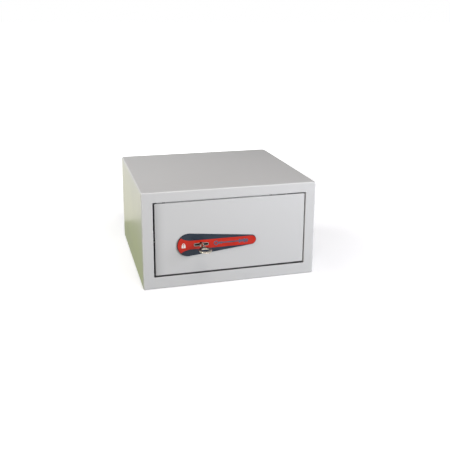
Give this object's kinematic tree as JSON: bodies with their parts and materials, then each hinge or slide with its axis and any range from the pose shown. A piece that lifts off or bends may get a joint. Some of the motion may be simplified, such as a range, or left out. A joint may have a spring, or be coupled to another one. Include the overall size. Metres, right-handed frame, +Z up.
{
  "type": "hotel room safe",
  "caption": "Small key-operated steel safe: folded sheet cabinet, flush door on concealed pins, round locking bolts, lever lock with its key, drop-shaped escutcheon.",
  "frame": {"origin": "on the surface the safe stands on, under the middle of the cabinet", "axes": "+X to the right and +Z up for someone facing the door; +Y runs from the door to the back"},
  "size_m": [0.36, 0.381, 0.2],
  "materials": {
    "cabinet_paint": "fine-textured semi-gloss powder coat, light grey",
    "door_paint": "fine-textured semi-gloss powder coat, light grey",
    "plain_steel": "bright zinc-plated steel",
    "bolt_steel": "ground and zinc-plated steel",
    "nickel": "polished nickel plate",
    "brass": "stamped brass",
    "spring_steel": "blued spring strip",
    "nylon": "dark grey nylon",
    "pin_plastic": "black nylon",
    "buffer_rubber": "black rubber",
    "felt": "needle felt, charcoal",
    "escutcheon_slate": "glossy slate blue",
    "escutcheon_red": "glossy red",
    "mark_white": "glossy off-white print",
    "mark_slate": "glossy slate print"
  },
  "bodies": {
    "cabinet": {"cabinet_wrap": "cabinet_paint", "front_frame": "cabinet_paint", "back_panel": "cabinet_paint", "door_stop_upper": "cabinet_paint", "door_stop_lower": "cabinet_paint", "stop_buffers": "buffer_rubber", "hinge_bracket_upper": "cabinet_paint", "hinge_bracket_lower": "cabinet_paint", "hinge_bush_upper": "nylon", "hinge_bush_lower": "nylon", "interior_mat": "felt"},
    "door": {"door_plate": "door_paint", "hinge_block_upper": "door_paint", "hinge_block_lower": "door_paint", "hinge_pin_upper": "plain_steel", "hinge_pin_lower": "plain_steel", "escutcheon_plate": "escutcheon_slate", "escutcheon_band": "escutcheon_red", "escutcheon_padlock_mark": "mark_white", "escutcheon_key_mark": "mark_slate", "escutcheon_pins": "pin_plastic", "keyhole_rim": "nickel", "lock_case": "plain_steel", "lock_cover": "plain_steel", "lock_cover_screws": "plain_steel", "lock_case_studs": "plain_steel", "lock_case_nuts": "plain_steel", "lever_post": "plain_steel", "bolt_guide_upper": "door_paint", "bolt_guide_lower": "door_paint", "boltwork_cover": "door_paint", "cover_studs": "plain_steel", "cover_nuts": "plain_steel"},
    "levers": {"lock_levers": "brass", "lever_springs": "spring_steel"},
    "lock_curtain": {"lock_curtain": "brass"},
    "key": {"key": "nickel"},
    "boltwork": {"lock_bolt": "plain_steel", "bolt_bar": "plain_steel", "bolt_nuts": "plain_steel", "locking_bolt_upper": "bolt_steel", "locking_bolt_lower": "bolt_steel"}
  },
  "joints": [
    {"name": "door_hinge", "type": "hinge", "parent": "cabinet", "child": "door", "pos_m": [0.1263, -0.153, 0.102], "axis": [0, 0, 1], "range_deg": [0, 110]},
    {"name": "key_turn", "type": "hinge", "parent": "door", "child": "lock_curtain", "pos_m": [-0.0625, -0.1415, 0.087], "axis": [0, 1, 0], "range_deg": [0, 360]},
    {"name": "bolt_throw", "type": "slide", "parent": "door", "child": "boltwork", "axis": [-1, 0, 0], "range_m": [0, 0.018]},
    {"name": "key_withdraw", "type": "slide", "parent": "lock_curtain", "child": "key", "axis": [0, -1, 0], "range_m": [0, 0.045]},
    {"name": "lever_lift", "type": "hinge", "parent": "door", "child": "levers", "pos_m": [-0.0395, -0.149, 0.093], "axis": [0, 1, 0], "range_deg": [0, 2], "stiffness_Nm_per_rad": 0.3, "springref_deg": -5.73, "deforming": ["lever_springs"]}
  ],
  "couplings": [
    {"joint": "key_turn", "follows": "bolt_throw", "rad_per_m": 349.07}
  ]
}
